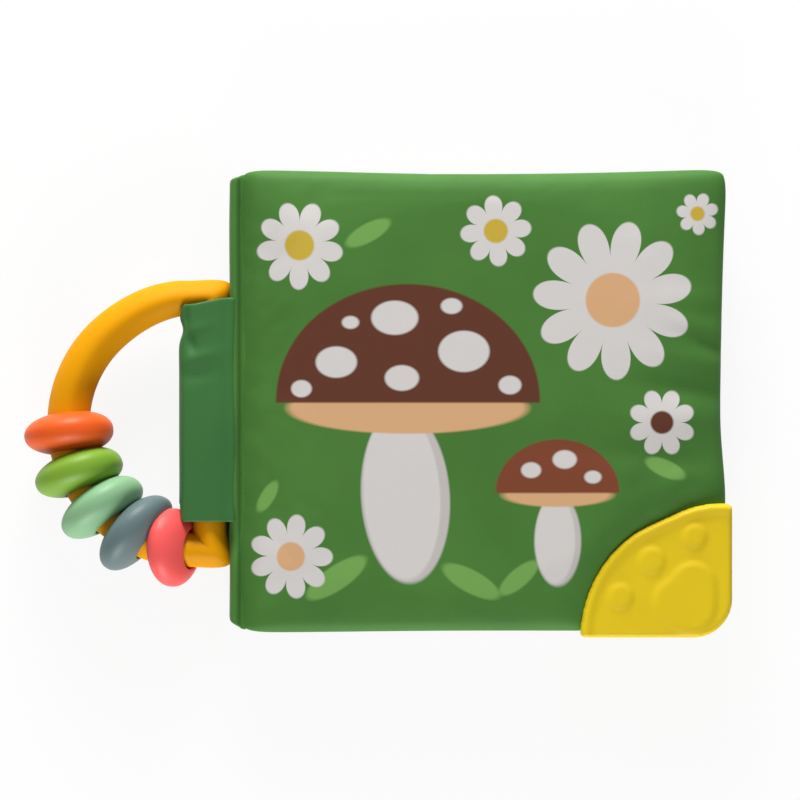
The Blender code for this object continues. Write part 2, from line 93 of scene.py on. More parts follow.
def start_material(name, inputs):
    """A new material, its node tree and its shader, with the shader's inputs set."""
    made = bpy.data.materials.new(name)
    made.use_nodes = True
    shader = made.node_tree.nodes["Principled BSDF"]
    for socket, value in inputs.items():
        shader.inputs[socket].default_value = value
    return made, made.node_tree, shader


SATIN_GREEN, SATIN_SHADE = "477A32", "3A6829"
print("satin green, linear:", [round(c, 3) for c in linear(SATIN_GREEN)])

# %% [markdown]
# ## Woven cloth
# The covers are printed polyester satin, whose long floats give a soft, broad sheen. The lining and the pages
# are plain weaves of cotton, which stay matt. A weave is two sets of threads at right angles, so two wave
# patterns, one across and one along, make its bump. The real threads are about 0.2 mm apart, too fine to
# show here, so they are drawn 0.7 mm apart. A Wave texture's bands lie 0.314 / scale metres apart, and a
# Noise texture's clouds about 1 / scale. Padded cloth rumples about every 18 mm, and dye takes in patches
# about 36 mm wide. The patterns read the cloth's own UV map, which is in metres, so they stay in the cloth
# wherever the cloth goes.

# %% Weave and soft rumples
THREAD_SPACING, BAND_FACTOR = 0.0007, 0.314
RUMPLE_WIDTH, DYE_PATCH = 0.0182, 0.0357


def weave(tree, shader, depth, rumple=0.0):
    """Thread and rumple bumps for a cloth, read from its UV map."""
    flat = add_node(tree, "UVMap", uv_map="cloth").outputs["UV"]
    scale = BAND_FACTOR / THREAD_SPACING
    threads = [
        add_node(
            tree, "TexWave", {"Vector": flat, "Scale": scale, "Distortion": 0.6, "Detail": 1.0},
            bands_direction=way,
        ).outputs["Fac"]
        for way in ("X", "Y")
    ]
    height = add_node(tree, "Math", {0: threads[0], 1: threads[1]}, operation="MULTIPLY")
    bump = add_node(tree, "Bump", {"Height": height.outputs[0], "Strength": 0.25, "Distance": depth})
    if rumple:
        soft = add_node(tree, "TexNoise", {"Vector": flat, "Scale": 1 / RUMPLE_WIDTH, "Detail": 2.0})
        bump = add_node(
            tree, "Bump",
            {"Height": soft.outputs["Fac"], "Strength": 0.5, "Distance": rumple,
             "Normal": bump.outputs["Normal"]},
        )
    tree.links.new(bump.outputs["Normal"], shader.inputs["Normal"])
    return flat


def patchy(tree, place, colour, other, width=DYE_PATCH, detail=3.0, share=0.5):
    """A colour with slow patches of a width that go over to another one by a share."""
    patches = add_node(tree, "TexNoise", {"Vector": place, "Scale": 1 / width, "Detail": detail})
    amount = add_node(
        tree, "MapRange",
        {"Value": patches.outputs["Fac"], "From Min": 0.35, "From Max": 0.7, "To Max": share},
    )
    return ink(tree, amount.outputs["Result"], linear(colour), other)


def plain_cloth(name, colour, darker, roughness, sheen, depth, rumple=0.0):
    """A dyed woven cloth."""
    made, tree, shader = start_material(name, {
        "Roughness": roughness, "Specular IOR Level": 0.3, "Sheen Weight": sheen, "Sheen Roughness": 0.5,
    })
    flat = weave(tree, shader, depth, rumple)
    tree.links.new(patchy(tree, flat, colour, darker), shader.inputs["Base Color"])
    return made


green_satin = plain_cloth(
    "dyed_polyester_satin_green", SATIN_GREEN, SATIN_SHADE, 0.5, 0.04, 0.00004, 0.0005
)
tab_satin = plain_cloth("dyed_polyester_satin_deep_green", "387036", "2F622F", 0.55, 0.04, 0.00005, 0.0004)
cream_cotton = plain_cloth("undyed_cotton_lining", "CCC7B8", "C2BBA9", 0.85, 0.1, 0.00007)
print("cloths:", green_satin.name, tab_satin.name, cream_cotton.name)

# %% [markdown]
# ## The printed front
# The print is drawn by the material itself from ovals and flowers, each one a mask laid over what is under
# it, as a screen printer lays down inks. A Mapping node set to Texture moves, turns and scales the cloth's
# own coordinates until the shape becomes a unit circle, and the length of that vector is the mask.

# %% Print shapes
EDGE_SOFTNESS = 0.0003
FAR = 10.0
HEART_SHARE = 0.34


def unit_place(tree, flat, x, y, wide, high, turn=0.0):
    """Cloth coordinates in which the shape at (x, y) is a unit circle."""
    return add_node(
        tree, "Mapping",
        {"Vector": flat, "Location": (x, y, 0), "Rotation": (0, 0, turn), "Scale": (wide, high, FAR)},
        vector_type="TEXTURE",
    ).outputs["Vector"]


def oval(tree, flat, under, colour, x, y, wide, high, turn=0.0, floor=None):
    """An oval patch, cut off below a height of the cloth if floor is given."""
    place = unit_place(tree, flat, x, y, wide, high, turn)
    length = add_node(tree, "VectorMath", {0: place}, operation="LENGTH").outputs["Value"]
    soft = EDGE_SOFTNESS / min(wide, high)
    mask = add_node(
        tree, "MapRange", {"Value": length, "From Min": 1 + soft, "From Max": 1 - soft}
    ).outputs["Result"]
    if floor is not None:
        height = add_node(tree, "SeparateXYZ", {"Vector": flat}).outputs["Y"]
        above = add_node(
            tree, "MapRange",
            {"Value": height, "From Min": floor - EDGE_SOFTNESS, "From Max": floor + EDGE_SOFTNESS},
        ).outputs["Result"]
        mask = add_node(tree, "Math", {0: mask, 1: above}, operation="MULTIPLY").outputs[0]
    return ink(tree, mask, under, colour)


def flower(tree, flat, under, x, y, size, petals, petal_colour, heart, turn=0.0):
    """A daisy: its edge swings in and out with the angle round its middle."""
    place = unit_place(tree, flat, x, y, size, size, turn)
    parts = add_node(tree, "SeparateXYZ", {"Vector": place})
    angle = add_node(
        tree, "Math", {0: parts.outputs["Y"], 1: parts.outputs["X"]}, operation="ARCTAN2"
    )
    turned = add_node(tree, "Math", {0: angle.outputs[0], 1: petals / 2}, operation="MULTIPLY")
    swing = add_node(tree, "Math", {0: turned.outputs[0]}, operation="COSINE")
    lobe = add_node(tree, "Math", {0: swing.outputs[0]}, operation="ABSOLUTE")
    round_lobe = add_node(tree, "Math", {0: lobe.outputs[0], 1: 0.45}, operation="POWER")
    edge = add_node(
        tree, "Math", {0: round_lobe.outputs[0], 1: 0.5, 2: 0.5}, operation="MULTIPLY_ADD"
    )
    length = add_node(tree, "VectorMath", {0: place}, operation="LENGTH").outputs["Value"]
    reach = add_node(tree, "Math", {0: edge.outputs[0], 1: length}, operation="SUBTRACT")
    soft = EDGE_SOFTNESS / size
    mask = add_node(
        tree, "MapRange", {"Value": reach.outputs[0], "From Min": -soft, "From Max": soft}
    ).outputs["Result"]
    petal_ink = ink(tree, mask, under, petal_colour)
    return oval(tree, flat, petal_ink, heart, x, y, HEART_SHARE * size, HEART_SHARE * size)


print("ink edges fade over", 2 * EDGE_SOFTNESS * 1000, "mm")

# %% [markdown]
# The layout is a toadstool meadow: one large toadstool with a small one beside it, daisies and leaves, in
# white, brown, peach and mustard on the green. Sizes are in metres on the cloth, from the book's middle.
# Each row of the table is an ink and the ovals it prints: x, y, half width, half height, turn and floor.

# %% Printed satin
WHITE_INK, GREY_INK, BROWN_INK, RUST_INK = "CFCBC8", "BDB8B4", "5E3322", "7A4028"
PEACH_INK, MUSTARD_INK, LEAF_INK = "D2A578", "C2A63A", "6FA04F"
PRINTED_OVALS = (
    (LEAF_INK, (-0.040, -0.0500, 0.0100, 0.0034, 0.6), (-0.0020, -0.0510, 0.0090, 0.0032, -0.5),
     (0.0115, -0.0500, 0.0070, 0.0026, 0.7), (-0.0310, 0.0475, 0.0070, 0.0026, 0.5),
     (0.0530, -0.0190, 0.0060, 0.0024, -0.4), (-0.0600, -0.0270, 0.0050, 0.0020, 1.0)),
    (GREY_INK, (-0.0205, -0.0270, 0.0125, 0.0245, 0.06)),
    (WHITE_INK, (-0.0215, -0.0265, 0.0108, 0.0240, 0.06)),
    (PEACH_INK, (-0.0200, -0.0020, 0.0340, 0.0072)),
    (BROWN_INK, (-0.0200, 0.0000, 0.0375, 0.0330, 0.0, -0.0005)),
    (WHITE_INK, (-0.0400, 0.0110, 0.0058, 0.0044), (-0.0235, 0.0235, 0.0066, 0.0048),
     (-0.0040, 0.0140, 0.0072, 0.0058), (0.0090, 0.0045, 0.0032, 0.0026),
     (-0.0215, 0.0065, 0.0048, 0.0036), (-0.0500, 0.0035, 0.0030, 0.0024),
     (-0.0075, 0.0268, 0.0030, 0.0022), (-0.0360, 0.0222, 0.0024, 0.0018)),
    (GREY_INK, (0.0225, -0.0395, 0.0066, 0.0130)),
    (WHITE_INK, (0.0218, -0.0392, 0.0056, 0.0126)),
    (PEACH_INK, (0.0225, -0.0265, 0.0155, 0.0034)),
    (RUST_INK, (0.0225, -0.0258, 0.0175, 0.0150, 0.0, -0.0260)),
    (WHITE_INK, (0.0150, -0.0195, 0.0028, 0.0022), (0.0245, -0.0165, 0.0034, 0.0026),
     (0.0325, -0.0215, 0.0024, 0.0018)),
)

printed_satin, tree, shader = start_material("printed_polyester_satin", {
    "Roughness": 0.65, "Specular IOR Level": 0.2, "Sheen Weight": 0.04, "Sheen Roughness": 0.5,
})
flat = weave(tree, shader, 0.00004, 0.0005)
colour = patchy(tree, flat, SATIN_GREEN, SATIN_SHADE)
for paint, *ovals in PRINTED_OVALS:
    for measures in ovals:
        colour = oval(tree, flat, colour, paint, *measures)
for x, y, size, petals, heart, turn in (
    (0.0380, 0.0285, 0.0225, 11, PEACH_INK, 0.2), (-0.0505, 0.0440, 0.0125, 9, MUSTARD_INK, 0.5),
    (0.0050, 0.0480, 0.0100, 8, MUSTARD_INK, 0.1), (0.0520, -0.0060, 0.0095, 8, BROWN_INK, 0.4),
    (-0.0530, -0.0440, 0.0120, 9, PEACH_INK, 0.0), (0.0620, 0.0530, 0.0060, 7, MUSTARD_INK, 0.3),
):
    colour = flower(tree, flat, colour, x, y, size, petals, WHITE_INK, heart, turn)
tree.links.new(colour, shader.inputs["Base Color"])
print("printed satin:", len(tree.nodes), "nodes")

# %% [markdown]
# The pages are cotton printed with rows of spots. Taking the fraction of a scaled position repeats one
# square cell all over the cloth, and a small circle in each cell makes the spot.

# %% Spotted page cotton
def spotted_cotton(name, ground, spot, pitch):
    """Cotton printed with rows of spots."""
    made, tree, shader = start_material(name, {"Roughness": 0.8, "Sheen Weight": 0.1})
    flat = weave(tree, shader, 0.00006, 0.0003)
    cells = add_node(
        tree, "VectorMath", {0: flat, "Scale": 1 / pitch}, operation="SCALE"
    ).outputs["Vector"]
    cell = add_node(tree, "VectorMath", {0: cells}, operation="FRACTION").outputs["Vector"]
    off = add_node(
        tree, "VectorMath", {0: cell, 1: (0.5, 0.5, 0.0)}, operation="DISTANCE"
    ).outputs["Value"]
    mask = add_node(tree, "MapRange", {"Value": off, "From Min": 0.26, "From Max": 0.22}).outputs["Result"]
    tree.links.new(ink(tree, mask, linear(ground), spot), shader.inputs["Base Color"])
    return made


PAGE_PITCH = 0.0110
blue_page = spotted_cotton("printed_cotton_blue_spots", "7FA5B4", "C6D2D4", PAGE_PITCH)
cream_page = spotted_cotton("printed_cotton_cream_spots", "CCC7B8", "AFC29B", PAGE_PITCH)
print("pages:", blue_page.name, cream_page.name)

# %% [markdown]
# ## Moulded plastic and silicone
# The ring and the beads are moulded ABS with a satin finish, so their highlights are soft. A fine
# orange-peel ripple about 2 mm across breaks them up, and the colour drifts in clouds about 22 mm wide. The
# teether is food-grade silicone, soft and slightly see-through, so light travels a few millimetres inside it
# and its gloss is broad.

# %% Plastic and silicone
RIPPLE_WIDTH, CAST_CLOUD = 0.002, 0.0222


def moulded(name, colour, warmer, roughness, gloss, more=None):
    """Smooth moulded plastic with an orange-peel ripple. more holds other inputs of its shader."""
    made, tree, shader = start_material(
        name, {"Roughness": roughness, "Specular IOR Level": gloss, **(more or {})}
    )
    place = add_node(tree, "TexCoord").outputs["Object"]
    cast = patchy(tree, place, colour, warmer, width=CAST_CLOUD, detail=2.0, share=0.35)
    tree.links.new(cast, shader.inputs["Base Color"])
    ripple = add_node(tree, "TexNoise", {"Vector": place, "Scale": 1 / RIPPLE_WIDTH, "Detail": 2.0})
    bump = add_node(tree, "Bump", {"Height": ripple.outputs["Fac"], "Strength": 0.12, "Distance": 0.0001})
    tree.links.new(bump.outputs["Normal"], shader.inputs["Normal"])
    return made


ring_plastic = moulded("moulded_abs_yellow", "E49C06", "DC9006", 0.5, 0.07)
bead_plastics = {
    name: moulded(f"satin_abs_{name}", colour, warmer, 0.46, 0.3)
    for name, colour, warmer in (
        ("orange", "F0601C", "E65616"), ("lime", "7EAA33", "749E2D"), ("mint", "8AB88B", "80AC82"),
        ("blue_grey", "66797A", "5D7174"), ("coral", "FA5E5C", "EE5454"),
    )
}
silicone = moulded("moulded_silicone_yellow", "E2C51A", "DAB41A", 0.5, 0.22, {
    "Subsurface Weight": 0.15, "Subsurface Radius": (1.0, 0.7, 0.2), "Subsurface Scale": 0.002,
})
print("plastics:", ring_plastic.name, silicone.name, len(bead_plastics), "beads")

# %% [markdown]
# ## Finished pieces
# Every piece ends the same way: its mesh becomes an object at the origin, smooth shaded, with its finish.
# A live subdivision rounds the cloth without a heavy mesh.

# %% Finish a piece
def finished(name, shape, looks, levels=0, wall=0.0):
    """An object from a bmesh, with its materials, and a cloth wall or a subdivision if wanted."""
    mesh = bpy.data.meshes.new(name)
    shape.to_mesh(mesh)
    shape.free()
    piece = bpy.data.objects.new(name, mesh)
    scene.collection.objects.link(piece)
    for look in looks:
        mesh.materials.append(look)
    if wall:
        solid = piece.modifiers.new("cloth thickness", "SOLIDIFY")
        solid.thickness = wall
        solid.offset = -1.0
    if levels:
        rounded = piece.modifiers.new("soft surface", "SUBSURF")
        rounded.levels = rounded.render_levels = levels
    mesh.shade_smooth()
    return piece


# %% [markdown]
# ## Camera
# The photograph looks straight down at the book from far away, with the head of the page up. A long lens
# 1.5 m above it gives the same flat view: 800 pixels of the picture cover 0.2277 m of the book.

# %% Camera
FRAME_WIDTH, SENSOR_WIDTH = 0.2277, 36.0
VIEW_X, VIEW_Y = -0.0219, 0.0003
CAMERA_REACH, COVER_LEVEL = 1.5, 0.018

camera_data = bpy.data.cameras.new("camera")
camera_data.sensor_width = SENSOR_WIDTH
camera_data.lens = SENSOR_WIDTH * CAMERA_REACH / FRAME_WIDTH
camera_data.clip_start = 0.05
camera = bpy.data.objects.new("camera", camera_data)
camera.location = (VIEW_X, VIEW_Y, COVER_LEVEL + CAMERA_REACH)
scene.collection.objects.link(camera)
scene.camera = camera
scene.view_settings.view_transform = "Standard"
print("lens:", round(camera_data.lens, 1), "mm")

# %% [markdown]
# ## Padded leaves
# A cover is two cloths sewn face to face, turned right side out and filled. It starts as one flat grid
# with the book's outline, which is extruded into a second layer, so the two are joined round their edges
# as a seam joins them. A crown then lifts the layers apart, full in the middle and round at the edges.

# %% Leaf outline and crown
EDGE_X, HALF_HEIGHT = 0.0698, 0.0655
SIDE_DRAW, HEAD_DRAW, FOOT_DRAW, CORNER_DRAW, CORNER_POWER = 0.0013, 0.0009, 0.0003, 0.0012, 28
CROWN_ACROSS, CROWN_ALONG, CROWN_FULLNESS = 4, 12, 0.52
BITE_FALL, BITE_DROP, SEAM_TURN, UNDER_DIP_SHARE = 0.0120, 0.62, 0.3, 0.6


def leaf_place(u, v, half_width, half_height):
    """The outline: straight at the spine, drawn in between its rounded corners elsewhere."""
    side = max(0, u) * u * SIDE_DRAW * (1 - v * v) + CORNER_DRAW * abs(v) ** CORNER_POWER
    end_draw = HEAD_DRAW if v > 0 else FOOT_DRAW
    head = end_draw * (1 - u * u) * v * v + CORNER_DRAW * abs(u) ** CORNER_POWER
    return u * (half_width - side), v * (half_height - head)


def softly(value):
    """0 to 1 with no corners."""
    value = min(1.0, max(0.0, value))
    return value * value * (3 - 2 * value)


def map_cloth(shape, length=1.0, height=1.0, left=0.0):
    """Gives a flat shape a UV map in metres of cloth."""
    maps = shape.loops.layers.uv.new("cloth")
    for face in shape.faces:
        for loop in face.loops:
            loop[maps].uv = ((loop.vert.co.x - left) * length, loop.vert.co.y * height)


def crown_share(u, v):
    """0 at the seam and 1 in the middle. It rises faster from the head and the foot than from the sides."""
    return (max(0, 1 - abs(u) ** CROWN_ACROSS) * max(0, 1 - abs(v) ** CROWN_ALONG)) ** CROWN_FULLNESS


def bitten(place, bite):
    """The crown falls towards the seam of a round corner."""
    centre, reach = bite
    off = Vector((place.x, place.y, 0)) - centre
    near = max(0.0, 1 - (off.length - reach(off)) / BITE_FALL)
    return 1 - BITE_DROP * near * near


def in_order(parts, key):
    """Sorts a mesh's parts. An extrusion leaves them in a new order each run, which cloth would feel."""
    for index, part in enumerate(sorted(parts, key=key)):
        part.index = index
    parts.sort()


def leaf_shape(left, right, half_height, cells, seam, edge, rise, drop, bite=None, hinge=None, turned=False):
    """Two joined layers of cloth. edge is half their distance at the seam, and rise and drop are what the
    crown adds above and below. bite is (centre, reach) of a round corner left out, where reach(off) is its
    radius in a direction, and hinge is (width, dip) of the slope by which the upper side rises out of the
    fold at the spine. turned has its outside below."""
    shape = bmesh.new()
    bmesh.ops.create_grid(shape, x_segments=cells, y_segments=cells, size=1)
    across = shape.verts.layers.float.new("across")
    along = shape.verts.layers.float.new("along")
    side = shape.verts.layers.float.new("side")
    middle, half_width = (left + right) / 2, (right - left) / 2
    for vert in shape.verts:
        u, v = vert.co.x, vert.co.y
        vert[across], vert[along], vert[side] = u, v, 1.0
        x, y = leaf_place(u, v, half_width, half_height)
        vert.co = (middle + x, y, 0)
    if bite:
        centre, reach = bite
        cut = []
        for face in shape.faces:
            off = face.calc_center_median() - centre
            if off.length < reach(off):
                cut.append(face)
        bmesh.ops.delete(shape, geom=cut, context="FACES")
        for vert in shape.verts:
            off = vert.co - centre
            if vert.is_boundary and off.length < reach(off) + (right - left) / cells:
                vert.co = centre + off.normalized() * reach(off)
    map_cloth(shape)
    made = bmesh.ops.extrude_face_region(shape, geom=shape.faces[:])
    for part in made["geom"]:
        if isinstance(part, bmesh.types.BMVert):
            part[side] = -1.0
    for vert in shape.verts:
        share = crown_share(vert[across], vert[along])
        if bite:
            share *= bitten(vert.co, bite)
        up = edge + rise * share
        down = edge + drop * share
        if hinge:
            width, dip = hinge
            risen = math.sin(math.pi / 2 * min(1.0, max(0.0, (vert.co.x - left) / width)))
            up = (up + dip) * risen - dip
            down += UNDER_DIP_SHARE * dip * (1 - risen)
        vert.co.z = seam + (up if vert[side] > 0 else -down)
    bmesh.ops.recalc_face_normals(shape, faces=shape.faces)
    for face in shape.faces:
        outer = face.normal.z < SEAM_TURN if turned else face.normal.z > -SEAM_TURN
        face.material_index = 0 if outer else 1
    in_order(shape.verts, lambda v: (v[side], v[along], v[across]))
    in_order(shape.edges, lambda e: sorted(v.index for v in e.verts))
    in_order(shape.faces, lambda f: sorted(v.index for v in f.verts))
    return shape


corner = leaf_place(1, 1, EDGE_X, HALF_HEIGHT)
print("back cover's corner:", [round(c * 1000, 1) for c in corner], "mm from its middle")

# %% [markdown]
# ## Blowing the pads up
# Cloth simulation gives the small pulls and puckers that a crown function can't. The pad is simulated ten
# times its size, because Blender's cloth is tuned for metres, with a little more cloth than its outline
# needs. Pressure pushes it open, gravity is off, and no point may move further than a cap. The result is
# read back into the mesh, and the neighbours' planes limit it, so the leaves stay clear of each other.

# %% Cloth pressure
SIM_SCALE, SIM_FRAMES = 10.0, 16
HELD_WIDTH = 0.001


def puffed(piece, low, high, cap, pressure=0.3, slack=0.012, gain=0.5):
    """Inflates the pad's cloth and keeps a share of what it does, within cap and between two heights."""
    mesh = piece.data
    rest = [v.co.copy() for v in mesh.vertices]
    swollen = piece.copy()
    swollen.data = mesh.copy()
    swollen.modifiers.clear()
    scene.collection.objects.link(swollen)
    swollen.data.transform(Matrix.Scale(SIM_SCALE, 4))
    left = min(p.x for p in rest)
    held = swollen.vertex_groups.new(name="held")
    held.add([i for i, p in enumerate(rest) if p.x < left + HELD_WIDTH], 1.0, "REPLACE")
    cloth = swollen.modifiers.new("cloth", "CLOTH")
    cloth.point_cache.frame_end = SIM_FRAMES
    settings = cloth.settings
    settings.quality = 5
    settings.mass = 0.1
    settings.bending_stiffness = 0.05
    settings.use_pressure = True
    settings.uniform_pressure_force = pressure
    settings.shrink_min = -slack
    settings.effector_weights.gravity = 0
    settings.vertex_group_mass = "held"
    for number in range(1, SIM_FRAMES + 1):
        scene.frame_set(number)
    result = swollen.evaluated_get(bpy.context.evaluated_depsgraph_get()).to_mesh()
    for vert, start, moved in zip(mesh.vertices, rest, result.vertices):
        shift = (moved.co / SIM_SCALE - start) * gain
        if shift.length > cap:
            shift *= cap / shift.length
        vert.co = start + shift
        vert.co.z = min(high, max(low, vert.co.z))
    bpy.data.objects.remove(swollen, do_unlink=True)
    scene.frame_set(1)


print("cloth is simulated for", SIM_FRAMES, "frames at", SIM_SCALE, "times its size")

# %% [markdown]
# ## Back cover and pages
# The back cover carries the spine and lies flat on the table, so its lower side is limited to the table's
# height. The two pages are thinner.

# %% Back cover
TABLE_GAP = 0.0001
BACK_LEFT, BACK_SEAM, BACK_TOP = -0.0679, 0.00275, 0.0065
shape = leaf_shape(
    BACK_LEFT, EDGE_X, HALF_HEIGHT, cells=56, seam=BACK_SEAM, edge=0.00095, rise=0.0028, drop=0.0023,
    turned=True,
)
back_pad = finished("back_cover_pad", shape, [green_satin, cream_page], levels=1)
puffed(back_pad, TABLE_GAP, BACK_TOP, cap=0.0009)
for vert in back_pad.data.vertices:
    vert.co.z = max(TABLE_GAP, vert.co.z)
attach(back_pad, "book")
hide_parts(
    "back_cover_outer_panel", "back_cover_inner_panel", "back_cover_wadding",
    "back_cover_crinkle_film",
)
print("back cover pad:", len(back_pad.data.polygons), "faces")

# %% Pages
LEAF_HALF = 0.00215
LEAF_LEFT, LEAF_RIGHT, LEAF_HALF_HEIGHT, LEAF_BEND_END = -0.0672, 0.0678, 0.0635, -0.0580
for name, seam in (("lower_leaf", 0.00905), ("upper_leaf", 0.01375)):
    shape = leaf_shape(
        LEAF_LEFT, LEAF_RIGHT, LEAF_HALF_HEIGHT, cells=52, seam=seam, edge=0.00075, rise=0.0014, drop=0.0014
    )
    page = finished(f"{name}_pad", shape, [blue_page, cream_page], levels=1)
    puffed(page, seam - LEAF_HALF, seam + LEAF_HALF, cap=0.0006)
    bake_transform(page)
    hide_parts(f"{name}_front_panel", f"{name}_back_panel", f"{name}_crinkle_film")
    print(page.name, len(page.data.polygons), "faces")

# %% [markdown]
# ## Front cover
# The front cover is the fullest pad, and its lower corner is cut away in an arc for the teether. Stiff film
# inside makes the cloth pull in a few broad folds from its edge, so these are pressed in one by one: each is
# a soft ridge or valley with a place, a direction, a length and a width, and it fades out in all of them. The
# teether's weight also pulls the fore edge out beside it.

# %% Folds pressed in
def fold_lift(place, folds):
    """How far the folds lift the cloth at a place."""
    lift = 0.0
    for x, y, turn, length, width, height in folds:
        dx, dy = place.x - x, place.y - y
        run = dx * math.cos(turn) + dy * math.sin(turn)
        off = -dx * math.sin(turn) + dy * math.cos(turn)
        lift += height * math.exp(-(run / length) ** 2 - (off / width) ** 2)
    return lift


# %% Front cover
TEETHER_CENTRE = Vector((0.0686, -0.0684, 0))
TEETHER_RADIUS = 0.0394
ARC_WANDER = ((24, 13, -0.0011), (65, 15, 0.0003))
FRONT_SEAM = 0.01805
SEAM_TUCK = 0.0006
COVER_FOLDS = (
    (0.0640, 0.0290, 0.00, 0.0150, 0.0030, 0.0005), (0.0660, 0.0202, -0.30, 0.0130, 0.0022, 0.0007),
    (0.0670, 0.0152, -0.38, 0.0085, 0.0015, -0.0009), (0.0640, 0.0108, -0.22, 0.0120, 0.0022, 0.0007),
    (0.0600, 0.0030, -0.15, 0.0150, 0.0028, -0.0011), (0.0580, -0.0050, -0.05, 0.0180, 0.0036, 0.0007),
    (0.0460, -0.0150, -0.10, 0.0200, 0.0040, -0.0010), (0.0560, -0.0235, 0.30, 0.0120, 0.0028, 0.0006),
    (-0.0560, -0.0520, 0.50, 0.0200, 0.0040, -0.0005),
)
COVER_LEFT, COVER_EDGE_X, COVER_HALF_HEIGHT = -0.0676, 0.0706, 0.0659
COVER_BASE, COVER_TOP, UPPER_CLOTH = 0.0163, 0.0246, FRONT_SEAM + 0.0012
TEETHER_PULL, PULL_X, PULL_X_EASE, PULL_Y, PULL_Y_EASE = 0.0012, 0.0550, 0.0160, -0.0030, 0.0250
HINGE_SLOPE, HINGE_DIP = 0.0058, 0.0013


def arc_radius(off):
    """The teether's radius in a direction from its centre. Its arc is flatter towards the fore edge."""
    turned = math.degrees(math.atan2(-off.x, off.y))
    return TEETHER_RADIUS + sum(
        lift * math.exp(-((turned - at) / wide) ** 2) for at, wide, lift in ARC_WANDER
    )


def seam_radius(off):
    """The cover's edge, tucked under the teether."""
    return arc_radius(off) - SEAM_TUCK


shape = leaf_shape(
    COVER_LEFT, COVER_EDGE_X, COVER_HALF_HEIGHT, cells=74, seam=FRONT_SEAM, edge=0.00095, rise=0.0050,
    drop=0.0008, bite=(TEETHER_CENTRE, seam_radius), hinge=(HINGE_SLOPE, HINGE_DIP),
)
for vert in shape.verts:
    near = softly((vert.co.x - PULL_X) / PULL_X_EASE) * softly((PULL_Y - vert.co.y) / PULL_Y_EASE)
    vert.co.x += TEETHER_PULL * near
front_pad = finished("front_cover_pad", shape, [printed_satin, cream_page], levels=1)
puffed(front_pad, COVER_BASE, COVER_TOP, cap=0.0012)
for vert in front_pad.data.vertices:
    if vert.co.z >= UPPER_CLOTH:
        vert.co.z += fold_lift(vert.co, COVER_FOLDS)
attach(front_pad, "front_cover")
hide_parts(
    "front_cover_outer_panel", "front_cover_inner_panel", "front_cover_wadding",
    "front_cover_crinkle_film",
)
print("front cover pad:", len(front_pad.data.polygons), "faces")

# %% [markdown]
# ## Cloth run along a section
# The spine, its lining and the tab are strips of cloth. Each is a grid whose columns follow a section in the
# X-Z plane, given as points, while its rows run along Y. A wall gives it the cloth's thickness.

# %% Strips
def along_points(points, share):
    """The place at a share of a path's length."""
    steps = [(Vector(b) - Vector(a)).length for a, b in zip(points, points[1:])]
    left = share * sum(steps)
    for (a, b), step in zip(zip(points, points[1:]), steps):
        if left <= step or b is points[-1]:
            return Vector(a).lerp(Vector(b), min(1.0, left / step))
        left -= step


def path_length(points):
    """How long the cloth is that follows the points."""
    return sum((Vector(b) - Vector(a)).length for a, b in zip(points, points[1:]))


def strip_shape(points, ends, across, along, wave=None):
    """A cloth strip along a section. ends(share) gives its low and high Y at a share of the section's
    length, and wave(share, place) how far a place there is off the section."""
    shape = bmesh.new()
    bmesh.ops.create_grid(shape, x_segments=across, y_segments=along, size=0.5)
    low, high = ends(0.5)
    map_cloth(shape, path_length(points), high - low, left=-0.5)
    for vert in shape.verts:
        share, run = vert.co.x + 0.5, vert.co.y + 0.5
        place = along_points(points, share)
        low, high = ends(share)
        vert.co = (place.x, low + (high - low) * run, place.y)
        if wave:
            vert.co += wave(share, vert.co)
    return shape


# %% [markdown]
# ## Spine
# The spine cloth comes up from the back cover, rolls over the top of the spine and dips into the fold on
# which the front cover turns, then ends in the cover's edge.

# %% Spine cloth and lining
SPINE_PATH = [
    (-0.0655, 0.0012), (-0.0675, 0.0011), (-0.0689, 0.0012), (-0.0696, 0.0020), (-0.0698, 0.0060),
    (-0.0698, 0.0120), (-0.0698, 0.0158), (-0.0697, 0.0175), (-0.0695, 0.0186), (-0.0691, 0.0191),
    (-0.0687, 0.0188), (-0.0684, 0.0180), (-0.0681, 0.0171), (-0.0677, 0.0165), (-0.0672, 0.0164),
    (-0.0666, 0.0167), (-0.0656, 0.0171),
]
SPINE_HEAD, SPINE_FOOT = 0.0646, -0.0653
CORNER_X, CORNER_WIDTH, HEAD_CORNER, FOOT_CORNER = -0.0645, 0.0054, 0.0023, 0.0037
FOLD_SHARE, FOLD_SHARE_EASE = 0.60, 0.12
ROLL_START, ROLL_EASE, ROLL_SIDE, ROLL_SIDE_EASE = 0.0150, 0.0030, -0.0680, 0.0008
PRESS_DEPTH, PRESS_Y, PRESS_WIDTH, PRESS_SIDEWAYS = 0.0016, -0.0395, 0.0060, 0.3
SIDE_DRIFT, FOLD_DRIFT, DRIFT_ALONG, DRIFT_ROUND = 0.0002, 0.0003, 60, 3


def spine_ends(share):
    """The strip's ends are cut round, so that the roll stops short of the cover's corners."""
    off = min(1.0, max(0.0, (CORNER_X - along_points(SPINE_PATH, share).x) / CORNER_WIDTH))
    cut = 1 - math.sqrt(1 - off * off)
    return SPINE_FOOT + FOOT_CORNER * cut, SPINE_HEAD - HEAD_CORNER * cut


